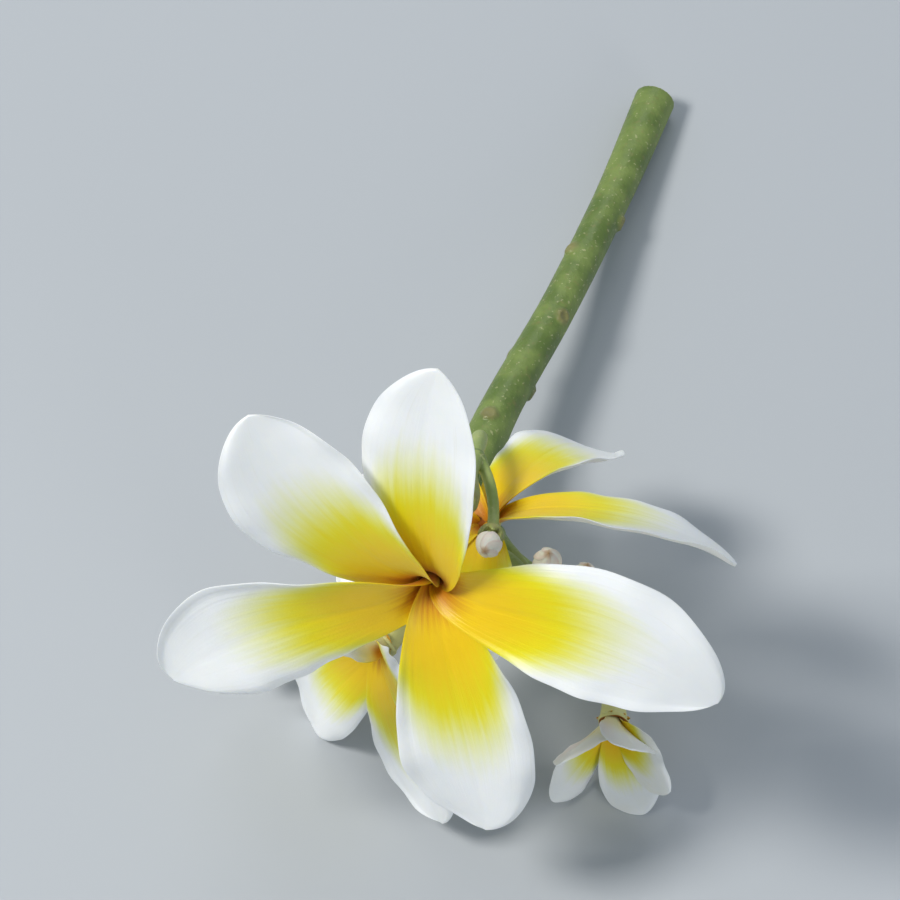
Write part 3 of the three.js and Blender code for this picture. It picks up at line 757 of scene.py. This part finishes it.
class Finish:
    """A node material, made by short calls that each return an output."""

    def __init__(self, name, **sockets):
        self.material = bpy.data.materials.new(name)
        self.material.use_nodes = True
        self.tree = self.material.node_tree
        self.surface = self.tree.nodes["Principled BSDF"]
        self.set(**sockets)

    def set(self, **sockets):
        """Give the surface values or outputs; a socket's spaces are written as underscores."""
        for key, value in sockets.items():
            self.feed(self.surface.inputs[key.replace("_", " ")], value)

    def feed(self, socket, value):
        if isinstance(value, bpy.types.NodeSocket):
            self.tree.links.new(value, socket)
        else:
            socket.default_value = value

    def node(self, kind, inputs, **settings):
        made = self.tree.nodes.new("ShaderNode" + kind)
        for key, value in settings.items():
            setattr(made, key, value)
        for key, value in inputs.items():
            self.feed(made.inputs[key], value)
        return made

    def field(self, name):
        return self.node("Attribute", {}, attribute_name=name).outputs["Fac"]

    def math(self, operation, a, b=0.0):
        return self.node("Math", {0: a, 1: b}, operation=operation).outputs[0]

    def times(self, a, b):
        return self.math("MULTIPLY", a, b)

    def plus(self, a, b):
        return self.math("ADD", a, b)

    def fade(self, value, low, high, start=0.0, end=1.0):
        """From start to end as the value goes from low to high."""
        inputs = {"Value": value, "From Min": low, "From Max": high, "To Min": start, "To Max": end}
        return self.node("MapRange", inputs, interpolation_type="SMOOTHSTEP").outputs["Result"]

    def mix(self, share, a, b, blend="MIX"):
        made = self.node("Mix", {0: share, 6: a, 7: b}, data_type="RGBA", blend_type=blend)
        return made.outputs[2]

    def place(self):
        return self.node("TexCoord", {}).outputs["Object"]

    def noise(self, vector, scale, detail=3.0):
        inputs = {"Vector": vector, "Scale": scale, "Detail": detail, "Roughness": 0.55}
        return self.node("TexNoise", inputs).outputs["Fac"]

    def streaks(self, across, along, detail):
        """Noise in a petal's own directions, made finer across it than along it."""
        inputs = {0: self.times(self.field("across"), across), 1: self.times(self.field("along"), along),
                  2: self.times(self.field("tint"), 37.0)}
        return self.noise(self.node("CombineXYZ", inputs).outputs[0], 1.0, detail)

    def bump(self, height, distance, strength):
        inputs = {"Height": height, "Distance": distance, "Strength": strength}
        self.set(Normal=self.node("Bump", inputs).outputs["Normal"])


def petal_skin():
    skin = Finish("waxy_petal", Subsurface_Weight=0.22, Subsurface_Scale=0.0016,
                  Subsurface_Radius=(1.0, 0.8, 0.45), Specular_IOR_Level=0.45,
                  Sheen_Weight=0.06, Sheen_Roughness=0.4)
    along, across = skin.field("along"), skin.field("across")
    upper, tube = skin.field("upper"), skin.field("tube")
    clouds = skin.noise(skin.place(), 260.0, 2.0)
    veins = skin.streaks(24.0, 2.2, 2.0)

    # Yellow reaches far up the middle, in uneven streaks, and leaves white margins down both sides
    uneven = skin.times(skin.math("SUBTRACT", skin.streaks(9.0, 1.6, 4.0), 0.5), 0.22)
    away = skin.math("POWER", skin.math("ABSOLUTE", across), 3.4)
    margin = skin.times(away, skin.fade(along, 0.04, 0.5, 0.1, 0.6))
    reach = skin.plus(skin.plus(skin.times(along, 1.45), margin), uneven)
    white = skin.mix(clouds, rgb("F1F4F4"), rgb("F9FAF6"))
    lemon = skin.mix(skin.fade(reach, 0.62, 1.15), rgb("E4E508"), white)
    yellow = skin.mix(skin.fade(reach, 0.3, 0.9), rgb("F1C900"), lemon)
    face = skin.mix(skin.fade(reach, 0.03, 0.26), rgb("C47A00"), yellow)

    # Outside: cream, with the yellow showing through, a rosy flush on one half and green near the tube,
    # but orange where the other edge folds round the throat
    through = skin.mix(skin.fade(reach, 0.2, 0.95), rgb("F0E8AE"), rgb("F8F7F0"))
    flush = skin.times(skin.fade(across, 0.15, 0.8), skin.fade(along, 0.95, 0.35))
    back = skin.mix(skin.times(flush, 0.3), through, rgb("E8B9AC"))
    back = skin.mix(skin.fade(along, 0.16, 0.0), back, rgb("C9CC82"))
    fold = skin.times(skin.fade(across, -0.2, -0.7), skin.fade(along, 0.2, 0.06))
    back = skin.mix(fold, back, rgb("DA920C"))
    petal = skin.mix(skin.fade(upper, 0.15, 0.5), back, face)

    foot = skin.mix(skin.fade(tube, 0.1, 0.9), rgb("D3D08A"), rgb("B3BB78"))
    # Inside the throat's dimple: the throat's own deep orange, darkened there as painted shade in the hole
    throat = skin.mix(skin.fade(tube, THROAT_MARK, 5 * THROAT_MARK), rgb("8F4E03"), foot)
    colour = skin.mix(skin.fade(tube, 0.25 * THROAT_MARK, 0.75 * THROAT_MARK), petal, throat)
    colour = skin.mix(skin.fade(veins, 0.62, 0.75, 0.0, 0.10), colour, rgb("D9CFA0"), "MULTIPLY")
    skin.set(Base_Color=colour, Roughness=skin.fade(clouds, 0.3, 0.7, 0.36, 0.5))
    fine = skin.noise(skin.place(), 2600.0, 2.0)
    relief = skin.plus(skin.times(veins, 0.7), skin.times(fine, 0.3))
    skin.bump(skin.times(relief, skin.fade(along, 0.5, 1.0, 1.0, 0.2)), 0.00012, 0.8)
    return skin.material


def bud_skin():
    skin = Finish("furled_petal", Subsurface_Weight=0.2, Subsurface_Scale=0.0014,
                  Subsurface_Radius=(1.0, 0.7, 0.45), Specular_IOR_Level=0.45)
    along, across, tube = skin.field("along"), skin.field("across"), skin.field("tube")
    streaks = skin.streaks(7.0, 3.0, 4.0)
    clouds = skin.noise(skin.place(), 500.0, 2.0)
    cream = skin.mix(clouds, rgb("F5F1DA"), rgb("FBF9F0"))
    edge = skin.times(skin.fade(across, 0.15, 0.95), skin.fade(streaks, 0.3, 0.7, 0.5, 1.0))
    rosy = skin.mix(skin.times(edge, 0.4), cream, rgb("DFA59A"))
    green = skin.mix(skin.fade(along, 0.32, 0.0), rosy, rgb("C5C67C"))
    foot = skin.mix(skin.fade(tube, 0.0, 0.9), green, rgb("A9B36B"))
    tip = skin.mix(skin.fade(along, 0.86, 1.0), foot, rgb("C9A47B"))
    skin.set(Base_Color=tip, Roughness=skin.fade(clouds, 0.3, 0.7, 0.34, 0.48))
    skin.bump(skin.plus(streaks, skin.times(clouds, 0.4)), 0.00015, 0.7)
    return skin.material


def stalk_skin():
    skin = Finish("fleshy_stalk", Subsurface_Weight=0.08, Subsurface_Scale=0.001,
                  Subsurface_Radius=(0.7, 1.0, 0.3), Specular_IOR_Level=0.5)
    place = skin.place()
    blotches = skin.noise(place, 160.0, 4.0)
    grain = skin.noise(place, 900.0, 3.0)
    pores = skin.noise(place, 1500.0, 1.0)
    old = skin.mix(skin.fade(blotches, 0.35, 0.65), rgb("5E7434"), rgb("7C8F49"))
    old = skin.mix(skin.fade(grain, 0.55, 0.75, 0.0, 0.35), old, rgb("8A7B4B"))
    fresh = skin.mix(skin.fade(blotches, 0.35, 0.65), rgb("8BA052"), rgb("A3B066"))
    green = skin.mix(skin.field("young"), old, fresh)
    cup = skin.mix(skin.fade(grain, 0.4, 0.7, 0.25, 0.7), rgb("97A45A"), rgb("8A6A45"))
    green = skin.mix(skin.times(skin.field("calyx"), 0.75), green, cup)
    flecked = skin.mix(skin.fade(pores, 0.66, 0.72, 0.0, 0.5), green, rgb("B9B98A"))
    scarred = skin.mix(skin.times(skin.field("scar"), 0.6), flecked, rgb("8B7C52"))
    wood = skin.mix(skin.fade(grain, 0.35, 0.65), rgb("D8D9A8"), rgb("B7BD7E"))
    colour = skin.mix(skin.field("cut"), scarred, wood)
    skin.set(Base_Color=colour, Roughness=skin.fade(blotches, 0.3, 0.7, 0.38, 0.55))
    skin.bump(skin.plus(grain, skin.times(pores, 0.5)), 0.0002, 0.7)
    return skin.material


# -----------------------------------------------------------------------------------------------------
# Studio, in metres
# -----------------------------------------------------------------------------------------------------

LENS = 220  # focal length in millimetres
NEAREST_SEEN = 0.01
CAMERA_ELEVATION = 60
CAMERA_DISTANCE = 0.86
CAMERA_TARGET = (0.0, -0.02, 0.045)

FLOOR_HALF = 3
FLOOR_COLOUR = "B4B9BE"
SKY_COLOUR = (0.76, 0.87, 1.0, 1.0)
SKY_STRENGTH = 0.42
LIGHT_TARGET = (0, -0.03, 0.04)
LIGHTS = [
    dict(name="key", place=(-0.62, -0.12, 0.9), size=0.26, power=9, colour=(1.0, 0.97, 0.92)),
    dict(name="back", place=(0.1, 0.8, 0.7), size=0.5, power=1.8, colour=(1.0, 0.99, 0.96)),
    dict(name="fill", place=(0.6, -0.9, 0.35), size=0.4, power=1.8, colour=(1.0, 0.98, 0.95)),
]


def look_at(thing, target):
    """Turn a camera or a light towards a point."""
    thing.rotation_euler = (Vector(target) - thing.location).to_track_quat("-Z", "Y").to_euler()


def make_camera():
    lens = bpy.data.cameras.new("camera")
    lens.lens = LENS
    lens.clip_start = NEAREST_SEEN
    camera = linked("camera", lens)
    angle = math.radians(CAMERA_ELEVATION)
    back = Vector((0, -math.cos(angle), math.sin(angle)))
    camera.location = Vector(CAMERA_TARGET) + back * CAMERA_DISTANCE
    look_at(camera, CAMERA_TARGET)
    bpy.context.scene.camera = camera


def make_light(name, place, size, power, colour):
    lamp = bpy.data.lights.new(name, "AREA")
    lamp.size = size
    lamp.energy = power
    lamp.color = colour
    light = linked(name, lamp)
    light.location = place
    look_at(light, LIGHT_TARGET)


def make_floor():
    mesh = bpy.data.meshes.new("floor")
    corners = [(x * FLOOR_HALF, y * FLOOR_HALF, 0) for x, y in ((-1, -1), (1, -1), (1, 1), (-1, 1))]
    mesh.from_pydata(corners, [], [(0, 1, 2, 3)])
    mesh.materials.append(Finish("pale_floor", Base_Color=rgb(FLOOR_COLOUR), Roughness=0.8).material)
    linked("floor", mesh)


def make_sky():
    world = bpy.data.worlds.new("studio")
    world.use_nodes = True
    sky = world.node_tree.nodes["Background"]
    sky.inputs["Color"].default_value = SKY_COLOUR
    sky.inputs["Strength"].default_value = SKY_STRENGTH
    bpy.context.scene.world = world


# -----------------------------------------------------------------------------------------------------
# The cluster
# -----------------------------------------------------------------------------------------------------

make_camera()
make_floor()
make_sky()
for light in LIGHTS:
    make_light(**light)
bpy.context.scene.view_settings.view_transform = "Standard"

draw = np.random.default_rng(7)
petal = petal_skin()
for flower in FLOWERS:
    make_bloom(flower, draw, petal)
bud_material = bud_skin()
for bud in BUDS:
    make_bud(bud, draw, bud_material)
make_stalk(stalk_skin())
